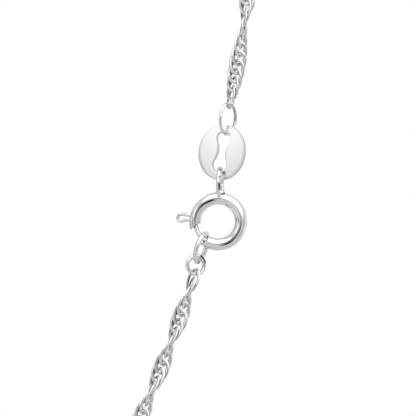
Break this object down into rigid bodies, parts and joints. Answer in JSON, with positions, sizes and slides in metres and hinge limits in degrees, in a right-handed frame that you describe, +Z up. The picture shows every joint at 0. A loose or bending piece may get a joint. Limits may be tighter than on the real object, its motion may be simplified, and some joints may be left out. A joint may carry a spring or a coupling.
{
  "type": "singapore chain necklace",
  "caption": "Neck chain of interlocked twisted oval links, closed by a spring ring clasp with an oval slotted tag and round jump rings, hanging as a loop.",
  "frame": {"origin": "point under the top of the loop where it hangs, on the middle of its width", "axes": "+Z up, +X to the right seen from the front, loop in the XZ plane, front towards -Y"},
  "size_m": [0.1236, 0.0032, 0.1683],
  "materials": {
    "chain": "polished silver wire",
    "rings": "polished silver wire",
    "tag": "polished silver sheet, stamped out",
    "spring_ring": "polished silver tube",
    "trigger": "polished silver wire"
  },
  "bodies": {
    "necklace": {"upper_links": "chain", "upper_jump_ring": "rings", "tag": "tag", "clasp_ring": "spring_ring", "lower_jump_ring": "rings", "end_ring": "rings", "lower_links": "chain", "chain_run": "chain"},
    "trigger": {"clasp_trigger": "trigger"}
  },
  "joints": [
    {"name": "trigger_slide_open", "type": "hinge", "parent": "necklace", "child": "trigger", "pos_m": [0.05692, 0, -0.10084], "axis": [0, 1, 0], "range_deg": [0, 50], "stiffness_Nm_per_rad": 0.001}
  ]
}
